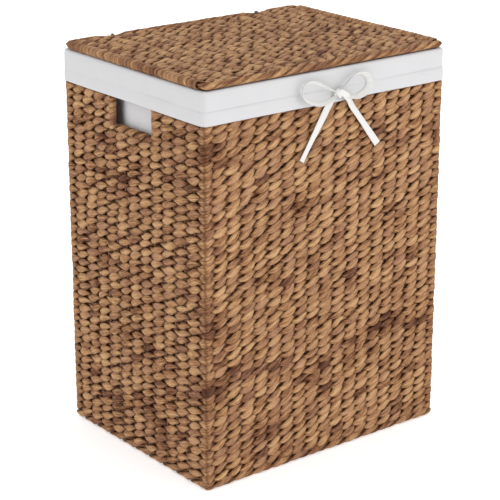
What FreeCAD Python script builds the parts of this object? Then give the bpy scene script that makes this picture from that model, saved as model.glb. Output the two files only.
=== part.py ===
import FreeCAD, Part
import math
import os
from FreeCAD import Vector

# Lidded laundry basket: strands twined round a welded steel-rod frame, a lid on two
# rod-and-loop hinges, and a cotton liner whose cuff folds over the rim and is closed by a
# tape tied in a bow.
# Millimetres. Origin at the centre of the underside, +Z up, the bow on the -Y face, the
# hinges along the +Y top edge, one hand hole in each X face.

# ---------------------------------------------------------------- driving dimensions
overall_width = 455.0
overall_depth = 355.0
overall_height = 610.0

# layers of the wall, from its face inwards: outer ply, cavity for the rods, inner ply
ply_thickness = 2.4
frame_rod_radius = 2.0
stake_radius = 1.5
fit_gap = 0.1
corner_radius = 5.0
front_intervals = 18
side_intervals = 14

base_border_height = 12.0
rim_border_height = 15.7

# hand hole in each X face
handle_clear_width = 97.0
handle_bottom_below_hem = 41.0
handle_top_below_hem = 1.0
handle_edge_thickness = 1.0
handle_wrap_width = 10.0

# lid
lid_thickness = 12.4
lid_clearance = 0.8
lid_border_width = 16.0
lid_corner_radius = 12.0
hinge_spacing = 278.0
hinge_wire_radius = 1.5
hinge_slack = 0.3
hinge_notch_width = 6.0

# cotton liner
cloth_thickness = 1.0
cuff_height = 47.8
lip_height = 20.0
bag_side_slack = 19.0
bag_slope_height = 21.0
casing_height = 19.0
casing_proud = 1.9
tape_width = 10.0
tape_thickness = 1.0
casing_gap = 12.0

# bow, its knot placed from the middle of the front and from the cuff's lower edge
knot_offset = 8.0
knot_above_hem = 13.0
knot_width = 14.0
knot_depth = 11.0
knot_rounding = 2.0
knot_neck_width = 8.0

# routes of the tape from the knot's centre: (across, up), seen from the front
loop_left_route = [
    (-5, 3), (-28, 15), (-50, 26), (-67, 21), (-67, 4), (-50, -7), (-26, -12), (-5, -2.5)
]
loop_right_route = [
    (5, 3.5), (18, 17), (33, 26), (54, 22), (62, 5), (50, -7), (27, -11), (5, -2.5)
]
tail_left_route = [(-3.5, -5), (-13, -15), (-26, -36), (-43, -61), (-62.5, -91)]
tail_right_route = [(5, 1), (14, -4), (27, -19), (48, -45), (82, -89)]

# ---------------------------------------------------------------- derived sizes
cavity = 2 * frame_rod_radius + 2 * fit_gap
wall = 2 * ply_thickness + cavity
rod_inset = wall / 2

# outer faces of the weave
face_x = overall_width / 2 - casing_proud - cloth_thickness - fit_gap
face_y = overall_depth / 2 - casing_proud - cloth_thickness - fit_gap
rod_x = face_x - rod_inset
rod_y = face_y - rod_inset

base_thickness = wall
base_rod_z = base_thickness / 2
stake_foot = base_rod_z + frame_rod_radius

lid_bottom = overall_height - lid_thickness
lid_axis_z = overall_height - lid_thickness / 2
cuff_top = lid_bottom - lid_clearance
rim_top = cuff_top - cloth_thickness - fit_gap
rim_rod_z = rim_top - ply_thickness - fit_gap - frame_rod_radius
stake_head = rim_rod_z - frame_rod_radius
wall_top = rim_top - rim_border_height

hem_z = cuff_top - cuff_height
handle_z0 = hem_z - handle_bottom_below_hem
handle_z1 = hem_z - handle_top_below_hem

lid_x = rod_x + lid_thickness / 2
lid_y = rod_y + lid_thickness / 2

SIDES = ("front", "back", "left", "right")


# ---------------------------------------------------------------- helpers
def box(x0, x1, y0, y1, z0, z1):
    return Part.makeBox(x1 - x0, y1 - y0, z1 - z0, Vector(x0, y0, z0))


def rod(start, end, radius):
    """A straight round rod between two points."""
    axis = end.sub(start)
    return Part.makeCylinder(radius, axis.Length, start, axis)


def rounded_block(half_x, half_y, z0, z1, radius):
    """A block about the Z axis with rounded upright edges."""
    block = box(-half_x, half_x, -half_y, half_y, z0, z1)
    if radius <= 0:
        return block
    upright = [e for e in block.Edges if abs(e.tangentAt(0).z) > 0.9]
    return block.makeFillet(radius, upright)


def side_point(side, along, outward, z):
    """A point given by its place along a side and its distance from the Z axis."""
    if side == "front":
        return Vector(along, -outward, z)
    if side == "back":
        return Vector(along, outward, z)
    if side == "left":
        return Vector(-outward, along, z)
    return Vector(outward, along, z)


def half_span(side, half_x, half_y):
    """(half the side's length, distance of its face from the Z axis)."""
    if side in ("front", "back"):
        return half_x, half_y
    return half_y, half_x


def mitred_bar(side, half_x, half_y, outer, inner, z0, z1):
    """One side of a rectangular ring between two insets, cut at 45 degrees at its ends."""
    length, face = half_span(side, half_x, half_y)
    corners = [
        side_point(side, -(length - outer), face - outer, z0),
        side_point(side, length - outer, face - outer, z0),
        side_point(side, length - inner, face - inner, z0),
        side_point(side, -(length - inner), face - inner, z0),
    ]
    outline = Part.makePolygon(corners + [corners[0]])
    return Part.Face(outline).extrude(Vector(0, 0, z1 - z0))


def mitred_rod(side, half_x, half_y, z, radius):
    """A rod along one side of a rectangle, mitred at the corners."""
    length, face = half_span(side, half_x, half_y)
    reach = length + 2 * radius
    bar = rod(side_point(side, -reach, face, z), side_point(side, reach, face, z), radius)
    grown_x = half_x + 2 * radius
    grown_y = half_y + 2 * radius
    zone = mitred_bar(side, grown_x, grown_y, 0, 4 * radius, z - 2 * radius, z + 2 * radius)
    return bar.common(zone)


def rod_ring(half_x, half_y, z, radius):
    """Four mitred rods welded into a rectangle."""
    return [mitred_rod(side, half_x, half_y, z, radius) for side in SIDES]


def ring(half_x, half_y, thickness, z0, z1, radius):
    """A closed band of cloth: a rounded rectangle with an even wall."""
    outside = rounded_block(half_x, half_y, z0, z1, radius)
    inner_radius = max(radius - thickness, 0)
    inside = rounded_block(half_x - thickness, half_y - thickness, z0, z1, inner_radius)
    return outside.cut(inside)


def export(name, solids):
    """Write one node, as one solid or as a group of separate solids."""
    pieces = []
    for shape in solids:
        pieces.extend(shape.Solids)
    shape = pieces[0] if len(pieces) == 1 else Part.makeCompound(pieces)
    shape.exportStep("parts/" + name + ".step")
    volume = sum(piece.Volume for piece in pieces)
    print(f"{name}: {len(pieces)} solid(s), {volume / 1000:.2f} cm3, valid {shape.isValid()}")


# ---------------------------------------------------------------- steel-rod frame
def stake_places(half_length, intervals):
    pitch = 2 * half_length / intervals
    return [-half_length + pitch * k for k in range(1, intervals)]


def handle_frame_box():
    """(half the width, lower and upper height) of the hand hole's rod frame, on its centres."""
    reach = handle_edge_thickness + fit_gap + frame_rod_radius
    return handle_clear_width / 2 + reach, handle_z0 - reach, handle_z1 + reach


def wall_stakes(side):
    """The upright stakes of one wall. On the X faces the hand hole's frame interrupts some."""
    along, outward = half_span(side, rod_x, rod_y)
    intervals = front_intervals if side in ("front", "back") else side_intervals
    frame_half, frame_low, frame_high = handle_frame_box()
    stakes = []
    for place in stake_places(along, intervals):
        spans = [(stake_foot, stake_head)]
        reaches_frame = abs(place) < frame_half + frame_rod_radius + stake_radius
        if side in ("left", "right") and reaches_frame:
            spans = [
                (stake_foot, frame_low - frame_rod_radius),
                (frame_high + frame_rod_radius, stake_head),
            ]
        for z0, z1 in spans:
            foot = side_point(side, place, outward, z0)
            head = side_point(side, place, outward, z1)
            stakes.append(rod(foot, head, stake_radius))
    return stakes


def corner_posts():
    posts = []
    for x in (-rod_x, rod_x):
        for y in (-rod_y, rod_y):
            posts.append(rod(Vector(x, y, stake_foot), Vector(x, y, stake_head), frame_rod_radius))
    return posts


def cross_stakes(z):
    """Stakes from front to back in the base or the lid, ending on the frame's rods."""
    reach = rod_y - frame_rod_radius
    places = stake_places(rod_x, front_intervals)
    return [rod(Vector(x, -reach, z), Vector(x, reach, z), stake_radius) for x in places]


def handle_frame(side):
    """The rectangle of rod round a hand hole."""
    frame_half, frame_low, frame_high = handle_frame_box()
    outer_end = frame_half + frame_rod_radius
    rods = []
    for z in (frame_low, frame_high):
        start = side_point(side, -outer_end, rod_x, z)
        end = side_point(side, outer_end, rod_x, z)
        rods.append(rod(start, end, frame_rod_radius))
    for place in (-frame_half, frame_half):
        foot = side_point(side, place, rod_x, frame_low + frame_rod_radius)
        head = side_point(side, place, rod_x, frame_high - frame_rod_radius)
        rods.append(rod(foot, head, frame_rod_radius))
    return rods


# ---------------------------------------------------------------- woven walls and base
def outer_envelope():
    return rounded_block(face_x, face_y, 0, rim_top, corner_radius)


def handle_cutter(margin, outer, inner):
    """A block through both X faces, larger than the hand hole by a margin, between insets."""
    half = handle_clear_width / 2 + margin
    low, high = handle_z0 - margin, handle_z1 + margin
    left = box(-face_x + outer, -face_x + inner, -half, half, low, high)
    right = box(face_x - inner, face_x - outer, -half, half, low, high)
    return left.fuse(right)


def wall_weave(side):
    """The twined wall between the borders: its outer and its inner ply."""
    outer_ply = mitred_bar(side, face_x, face_y, 0, ply_thickness, base_border_height, wall_top)
    outer_ply = outer_ply.common(outer_envelope())
    inner_ply = mitred_bar(
        side, face_x, face_y, wall - ply_thickness, wall, base_thickness, wall_top
    )
    if side in ("front", "back"):
        return [outer_ply, inner_ply]
    opening = handle_cutter(handle_wrap_width, -1, wall + 1)
    return [outer_ply.cut(opening), inner_ply.cut(opening)]


def base_weave():
    """The base's lower and upper ply, with the cross stakes between them."""
    lower_x, lower_y = face_x - ply_thickness, face_y - ply_thickness
    upper_x = face_x - wall + ply_thickness
    upper_y = face_y - wall + ply_thickness
    upper_z = base_thickness - ply_thickness
    return [
        box(-lower_x, lower_x, -lower_y, lower_y, 0, ply_thickness),
        box(-upper_x, upper_x, -upper_y, upper_y, upper_z, base_thickness),
    ]


def base_border():
    """The row of wrapping round the foot."""
    bars = []
    for side in SIDES:
        bar = mitred_bar(side, face_x, face_y, 0, ply_thickness, 0, base_border_height)
        bars.append(bar.common(outer_envelope()))
    return bars


def hinge_notches(outward0, outward1, z0, z1):
    """Gaps through the back for the hinge loops."""
    half = hinge_notch_width / 2
    cutters = []
    for x in (-hinge_spacing / 2, hinge_spacing / 2):
        cutters.append(box(x - half, x + half, outward0, outward1, z0, z1))
    return cutters[0].fuse(cutters[1])


def loop_foot():
    """The lowest point of a hinge loop, with its clearance."""
    return rim_rod_z - loop_path_radius() - hinge_wire_radius - hinge_slack


def rim_border():
    """Wrapping over the rim rod: a channel along each side, open downwards."""
    bars = []
    notches = hinge_notches(face_y - wall - 1, face_y + 1, loop_foot(), rim_top + 1)
    for side in SIDES:
        bar = mitred_bar(side, face_x, face_y, 0, wall, wall_top, rim_top)
        channel = mitred_bar(
            side, face_x, face_y, ply_thickness, wall - ply_thickness,
            wall_top, rim_top - ply_thickness,
        )
        bar = bar.cut(channel).common(outer_envelope())
        bars.append(bar.cut(notches) if side == "back" else bar)
    return bars


def handle_wrap(side):
    """Binding round a hand hole: a channel round its edge that holds the rod frame."""
    outer = handle_cutter(handle_wrap_width, 0, wall)
    hole = handle_cutter(0, -1, wall + 1)
    rod_space = handle_cutter(
        handle_wrap_width + 1, ply_thickness, wall - ply_thickness
    ).cut(handle_cutter(handle_edge_thickness, 0, wall))
    wraps = outer.cut(hole).cut(rod_space)
    sign = -1 if side == "left" else 1
    return [s for s in wraps.Solids if s.CenterOfMass.x * sign > 0]


# ---------------------------------------------------------------- lid
def lid_border_bar(side):
    """Wrapping round one edge of the lid: half round outside, open towards the weave."""
    length, face = half_span(side, lid_x, lid_y)
    radius = lid_thickness / 2
    inner = face - lid_border_width
    start = -(length + 1)
    ends = [
        side_point(side, start, inner, lid_bottom),
        side_point(side, start, face - radius, lid_bottom),
        side_point(side, start, face, lid_axis_z),
        side_point(side, start, face - radius, overall_height),
        side_point(side, start, inner, overall_height),
    ]
    outline = Part.Wire([
        Part.LineSegment(ends[0], ends[1]).toShape(),
        Part.Arc(ends[1], ends[2], ends[3]).toShape(),
        Part.LineSegment(ends[3], ends[4]).toShape(),
        Part.LineSegment(ends[4], ends[0]).toShape(),
    ])
    along = side_point(side, 1, 0, 0)
    along = Vector(abs(along.x), abs(along.y), 0).multiply(2 * length + 2)
    bar = Part.Face(outline).extrude(along)
    z0 = lid_axis_z - cavity / 2
    z1 = lid_axis_z + cavity / 2
    channel = mitred_bar(
        side, lid_x, lid_y, radius - cavity / 2, lid_border_width + 1, z0, z1
    )
    zone = mitred_bar(side, lid_x, lid_y, 0, lid_border_width, lid_bottom, overall_height)
    rounded = rounded_block(lid_x, lid_y, lid_bottom, overall_height, lid_corner_radius)
    return bar.common(zone).common(rounded).cut(channel)


def lid_border():
    notches = hinge_notches(
        lid_y - lid_border_width - 1, lid_y + 1, lid_bottom - 1, overall_height + 1
    )
    bars = [lid_border_bar(side) for side in SIDES]
    return [bars[0], bars[1].cut(notches), bars[2], bars[3]]


def lid_weave():
    """The lid's lower and upper ply, inside its border."""
    half_x = lid_x - lid_border_width
    half_y = lid_y - lid_border_width
    low = lid_axis_z - wall / 2
    high = lid_axis_z + wall / 2
    return [
        box(-half_x, half_x, -half_y, half_y, low, low + ply_thickness),
        box(-half_x, half_x, -half_y, half_y, high - ply_thickness, high),
    ]


def loop_path_radius():
    return frame_rod_radius + hinge_slack + hinge_wire_radius


def hinge_loop(x):
    """An oblong wire ring round the rim rod and the lid's back rod."""
    radius = loop_path_radius()
    origin = Vector(0, 0, 0)
    across = Vector(1, 0, 0)
    pieces = []
    for z, turn in ((rim_rod_z, 90), (lid_axis_z, -90)):
        bend = Part.makeTorus(radius, hinge_wire_radius, origin, across, 0, 360, 180)
        bend.rotate(origin, across, turn)
        bend.translate(Vector(x, rod_y, z))
        pieces.append(bend)
    for y in (rod_y - radius, rod_y + radius):
        foot = Vector(x, y, rim_rod_z)
        head = Vector(x, y, lid_axis_z)
        pieces.append(rod(foot, head, hinge_wire_radius))
    return pieces[0].multiFuse(pieces[1:]).removeSplitter()


# ---------------------------------------------------------------- cotton liner
lip_x = face_x - wall - fit_gap
lip_y = face_y - wall - fit_gap
lip_bottom = rim_top + fit_gap - lip_height
bag_x = lip_x - bag_side_slack
bag_floor = base_thickness + fit_gap
slope_foot = lip_bottom - bag_slope_height


def liner_cuff():
    """Cloth folded over the rim: an outer skirt, the fold, and a lip inside the wall."""
    skirt_x = face_x + fit_gap + cloth_thickness
    skirt_y = face_y + fit_gap + cloth_thickness
    radius = corner_radius + fit_gap + cloth_thickness
    skirt = ring(skirt_x, skirt_y, cloth_thickness, hem_z, cuff_top, radius)
    fold = rounded_block(skirt_x, skirt_y, cuff_top - cloth_thickness, cuff_top, radius)
    mouth = rounded_block(
        lip_x - cloth_thickness, lip_y - cloth_thickness, lip_bottom, cuff_top, 0
    )
    lip = ring(lip_x, lip_y, cloth_thickness, lip_bottom, cuff_top, 0)
    cuff = skirt.fuse(fold.cut(mouth)).fuse(lip)
    slits = hinge_notches(
        lip_y - cloth_thickness - 1, skirt_y + 1, loop_foot(), cuff_top + 1
    )
    return cuff.cut(slits).removeSplitter()


def prism(points, direction):
    return Part.Face(Part.makePolygon(points + [points[0]])).extrude(direction)


def liner_wide_panel(sign):
    """Front or back panel of the bag: it widens below the lip, where the side panels slope."""
    y = sign * lip_y
    outline = [
        Vector(-bag_x, y, bag_floor), Vector(bag_x, y, bag_floor),
        Vector(bag_x, y, slope_foot), Vector(lip_x, y, lip_bottom),
        Vector(-lip_x, y, lip_bottom), Vector(-bag_x, y, slope_foot),
    ]
    return prism(outline, Vector(0, -sign * cloth_thickness, 0))


def liner_side_panel(sign):
    """Side panel: it slopes inwards under the lip, which leaves hand room behind the hole."""
    inner = cloth_thickness
    half = lip_y - cloth_thickness
    outline = [
        Vector(sign * bag_x, -half, bag_floor),
        Vector(sign * bag_x, -half, slope_foot),
        Vector(sign * lip_x, -half, lip_bottom),
        Vector(sign * (lip_x - inner), -half, lip_bottom),
        Vector(sign * (bag_x - inner), -half, slope_foot),
        Vector(sign * (bag_x - inner), -half, bag_floor),
    ]
    return prism(outline, Vector(0, 2 * half, 0))


def liner_bottom_panel():
    half_x = bag_x - cloth_thickness
    half_y = lip_y - cloth_thickness
    return box(-half_x, half_x, -half_y, half_y, bag_floor, bag_floor + cloth_thickness)


# ---------------------------------------------------------------- drawstring
casing_x = overall_width / 2
casing_y = overall_depth / 2
casing_corner = corner_radius + fit_gap + cloth_thickness + casing_proud
tape_z = hem_z + casing_height / 2


def front_gap(width):
    """A block through the front of the casing, where the tape comes out."""
    return box(
        knot_offset - width / 2, knot_offset + width / 2,
        -casing_y - 1, -face_y - fit_gap, hem_z - 1, hem_z + casing_height + 1,
    )


def drawstring():
    """The tape inside the casing, from one side of the gap right round to the other."""
    inset = casing_proud - tape_thickness - fit_gap
    band = ring(
        casing_x - inset, casing_y - inset, tape_thickness,
        tape_z - tape_width / 2, tape_z + tape_width / 2, casing_corner - inset,
    )
    return band.cut(front_gap(knot_neck_width))


def drawstring_casing():
    """The hem of the cuff: a sewn channel round the outside, open behind the bow."""
    inset = casing_proud - tape_thickness - 2 * fit_gap
    band = ring(
        casing_x, casing_y, casing_proud, hem_z, hem_z + casing_height, casing_corner
    )
    channel = ring(
        casing_x - inset, casing_y - inset, casing_proud - inset + fit_gap,
        tape_z - tape_width / 2 - fit_gap, tape_z + tape_width / 2 + fit_gap,
        casing_corner - inset,
    )
    return band.cut(channel).cut(front_gap(casing_gap))


knot_z = hem_z + knot_above_hem
tail_y = -casing_y - 1.0
loop_y = tail_y - tape_thickness / 2 - 0.4 - tape_width / 2
knot_back = -casing_y - 0.3


def bow_knot():
    """The knot, with the neck where the tape comes out of its casing."""
    half = knot_width / 2
    body = box(
        knot_offset - half, knot_offset + half, knot_back - knot_depth, knot_back,
        knot_z - half, knot_z + half,
    )
    body = body.makeFillet(knot_rounding, body.Edges)
    neck_half = knot_neck_width / 2
    tape_back = -casing_y + casing_proud - fit_gap
    neck = box(
        knot_offset - neck_half, knot_offset + neck_half, knot_back - 1, tape_back,
        tape_z - tape_width / 2, tape_z + tape_width / 2,
    )
    return body.fuse(neck).removeSplitter()


def route_wire(name, route, y):
    """Straight runs joined by tangent arcs through a route's points."""
    points = [Vector(knot_offset + across, y, knot_z + up) for across, up in route]
    edges = []
    start = points[0]
    radii = []
    for before, corner, after in zip(points, points[1:], points[2:]):
        arriving = corner.sub(before)
        leaving = after.sub(corner)
        shorter = min(arriving.Length, leaving.Length)
        half_turn = arriving.getAngle(leaving) / 2
        cut_back = 0.45 * shorter
        radius = cut_back / math.tan(half_turn)
        radii.append(radius)
        into = arriving.normalize()
        out = leaving.normalize()
        arc_start = corner.sub(into * cut_back)
        arc_end = corner.add(out * cut_back)
        bisector = out.sub(into).normalize()
        centre = corner.add(bisector * (radius / math.cos(half_turn)))
        middle = centre.sub(bisector * radius)
        edges.append(Part.LineSegment(start, arc_start).toShape())
        edges.append(Part.Arc(arc_start, middle, arc_end).toShape())
        start = arc_end
    edges.append(Part.LineSegment(start, points[-1]).toShape())
    wire = Part.Wire(edges)
    print(f"{name}: length {wire.Length:.1f}, radii " + ", ".join(f"{r:.1f}" for r in radii))
    return wire


def tape(name, route, y, width_along_y):
    """A flat tape along a route, its width standing off the wall or lying in its plane."""
    wire = route_wire(name, route, y)
    start = wire.Vertexes[0].Point
    run = Vector(route[1][0] - route[0][0], 0, route[1][1] - route[0][1]).normalize()
    across = Vector(-run.z, 0, run.x)
    off_wall = Vector(0, 1, 0)
    wide = off_wall if width_along_y else across
    thin = across if width_along_y else off_wall
    wide = wide * (tape_width / 2)
    thin = thin * (tape_thickness / 2)
    corners = [
        start + wide + thin, start + wide - thin, start - wide - thin, start - wide + thin
    ]
    section = Part.makePolygon(corners + [corners[0]])
    solid = wire.makePipeShell([section], True, True)
    expected = wire.Length * tape_width * tape_thickness
    print(f"{name}: volume {solid.Volume:.1f}, section times length {expected:.1f}")
    return solid


# ---------------------------------------------------------------- write the nodes
os.makedirs("parts", exist_ok=True)

export("bottom_rail", rod_ring(rod_x, rod_y, base_rod_z, frame_rod_radius))
export("top_rim", rod_ring(rod_x, rod_y, rim_rod_z, frame_rod_radius))
export("corner_posts", corner_posts())
for wall_side in SIDES:
    export(wall_side + "_stakes", wall_stakes(wall_side))
    export(wall_side + "_weave", wall_weave(wall_side))
export("base_stakes", cross_stakes(base_rod_z))
export("base_weave", base_weave())
export("base_border", base_border())
export("rim_border", rim_border())
for wall_side in ("left", "right"):
    export(wall_side + "_handle_frame", handle_frame(wall_side))
    export(wall_side + "_handle_wrap", handle_wrap(wall_side))

export("lid_frame", rod_ring(rod_x, rod_y, lid_axis_z, frame_rod_radius))
export("lid_stakes", cross_stakes(lid_axis_z))
export("lid_weave", lid_weave())
export("lid_border", lid_border())
export("left_hinge_loop", [hinge_loop(-hinge_spacing / 2)])
export("right_hinge_loop", [hinge_loop(hinge_spacing / 2)])

export("liner_cuff", [liner_cuff()])
export("liner_front_panel", [liner_wide_panel(-1)])
export("liner_back_panel", [liner_wide_panel(1)])
export("liner_left_panel", [liner_side_panel(-1)])
export("liner_right_panel", [liner_side_panel(1)])
export("liner_bottom_panel", [liner_bottom_panel()])
export("drawstring_casing", [drawstring_casing()])
export("drawstring", [drawstring()])
export("bow_knot", [bow_knot()])
export("bow_loop_left", [tape("bow_loop_left", loop_left_route, loop_y, True)])
export("bow_loop_right", [tape("bow_loop_right", loop_right_route, loop_y, True)])
export("bow_tail_left", [tape("bow_tail_left", tail_left_route, tail_y, False)])
export("bow_tail_right", [tape("bow_tail_right", tail_right_route, tail_y, False)])
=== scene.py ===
"""A lidded laundry basket: twined strand walls and lid on a steel frame, with a tied cotton liner."""

import logging
import math
from dataclasses import dataclass, field
from enum import Enum
from typing import Any, Callable, Iterable, Iterator, Sequence

import bpy
import numpy as np
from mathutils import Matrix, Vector


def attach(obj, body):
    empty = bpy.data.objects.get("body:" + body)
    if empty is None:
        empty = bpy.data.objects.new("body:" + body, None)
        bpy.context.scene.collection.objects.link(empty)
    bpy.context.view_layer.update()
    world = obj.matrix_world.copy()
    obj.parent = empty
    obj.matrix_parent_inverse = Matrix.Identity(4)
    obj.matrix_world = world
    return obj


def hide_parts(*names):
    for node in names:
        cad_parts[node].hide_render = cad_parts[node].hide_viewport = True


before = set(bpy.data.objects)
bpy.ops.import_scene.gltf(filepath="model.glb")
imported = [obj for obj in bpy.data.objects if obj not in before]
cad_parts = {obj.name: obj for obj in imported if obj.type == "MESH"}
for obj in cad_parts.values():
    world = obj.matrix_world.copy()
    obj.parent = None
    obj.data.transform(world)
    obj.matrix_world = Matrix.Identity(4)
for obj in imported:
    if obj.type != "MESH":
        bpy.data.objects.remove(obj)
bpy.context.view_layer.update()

LOG = logging.getLogger("laundry_basket")
Array = np.ndarray
Values = np.ndarray | float
Colour = tuple[float, float, float, float]
Scale = tuple[float, float, float]
Core = Callable[[Array], tuple[Array, Array, Array]]
WHITE: Colour = (1.0, 1.0, 1.0, 1.0)
TURN = 2.0 * math.pi
MM = 0.001
RING = 10  # points round a strand
EDGE_SHADE = 0.62  # painted shade: how much darker a strand is painted towards its edges
HOLLOW_LIGHT = 0.12  # the light left between two strands
HOLLOW_DEPTHS = (0.6 * MM, 3.7 * MM)  # how far out a strand is dark, and fully lit
UV_LINE = 0.8  # metres of strand in one strip of the map
UV_EDGE = 0.05  # the strip's free edge
UV_BAND = 0.9  # the strip's used part
CORNERS = np.array([0.0, 18.0, 32.0, 50.0, 64.0])  # the places of the posts, and the first one again
LAP = 64.0  # places once round
STITCHES = 60  # stitches once round
TABLE = 64  # values in a flat row's or a rope's table
GAP = 440.0 * MM / 18.0  # from one place to the next on a long side
MIDDLE = 9.0  # the place in the middle of a long side
HINGE_X = 139.0 * MM  # how far the hinge loops are from the middle
CUFF_GIRTH = 1.606  # metres of cloth round the rim
FORWARD = np.array([0.0, -1.0, 0.0])
UP = np.array([0.0, 0.0, 1.0])


class Body(Enum):
    """The two bodies that pieces ride on."""

    BASKET = "basket"
    LID = "lid"


class Slot(Enum):
    """Which material a piece takes."""

    STRAND = "strand"
    STEEL = "steel"
    COTTON = "cotton"
    TAPE = "tape"


# ---------------------------------------------------------------- numbers along a line


def unit(vectors: Array) -> Array:
    """The same vectors, each one long."""
    return vectors / np.maximum(np.linalg.norm(vectors, axis=-1, keepdims=True), 1e-12)


def ease(values: Values, low: float, high: float) -> Values:
    """A smooth step from 0 at low to 1 at high."""
    share = np.clip((values - low) / (high - low), 0.0, 1.0)
    return share * share * (3.0 - 2.0 * share)


def bell(values: Array, centre: float, width: float) -> Array:
    """A soft bump, 1 at its centre."""
    return np.exp(-(((values - centre) / width) ** 2))


def lengths(points: Array) -> Array:
    """How far along its line each point is."""
    return np.concatenate([[0.0], np.cumsum(np.linalg.norm(np.diff(points, axis=0), axis=1))])


def power(values: Array, exponent: float) -> Array:
    """Values raised to a power, with their signs kept."""
    return np.sign(values) * np.abs(values) ** exponent


def wander(table: Array, places: Array) -> Array:
    """Reads a closed table of values at fractional places.

    Args:
        table: one value for each whole place, which repeats round the basket.
        places: where to read it.

    Returns:
        The value at each place, level near the whole places and smooth between them.
    """
    base = np.floor(places).astype(int)
    share = ease(places - base, 0.0, 1.0)
    return table[base % len(table)] * (1.0 - share) + table[(base + 1) % len(table)] * share


@dataclass
class Ripple:
    """Soft unevenness over a surface: a few seeded waves added together."""

    seed: int
    low: float
    high: float
    waves: int = 7

    def __post_init__(self) -> None:
        """Draws the waves' directions, sizes and starts."""
        rng = np.random.default_rng(self.seed)
        angle = rng.uniform(0.0, math.pi, self.waves)
        size = rng.uniform(self.low, self.high, self.waves)
        self.x = np.cos(angle) * size
        self.y = np.sin(angle) * size
        self.start = rng.uniform(0.0, TURN, self.waves)

    def at(self, x: Values, y: Values) -> Array:
        """The unevenness at each place, about -1 to 1.

        Args:
            x: places along the surface, in metres.
            y: places up the surface, in metres.

        Returns:
            One number for each place.
        """
        total = np.zeros(np.broadcast(x, y).shape)
        for a, b, start in zip(self.x, self.y, self.start):
            total = total + np.sin(TURN * (a * x + b * y) + start)
        return total / math.sqrt(self.waves)


# ---------------------------------------------------------------- meshes


@dataclass
class Strand:
    """A length of strand, tape or thread, before it gets its skin."""

    centres: Array
    outward: Array
    half_width: Values
    rise_out: Values
    rise_in: Values
    tone: Values = 0.5
    # painted shade: 1 where the strand is fully lit, less where it is painted darker
    shade: Values = 1.0
    mark: float = 0.0
    depth: Values = 1.0
    fullness: float = 0.85
    capped: bool = True

    def column(self, values: Values) -> Array:
        """Values for the points of the line, as a column."""
        return np.broadcast_to(values, len(self.centres))[:, None]


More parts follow.
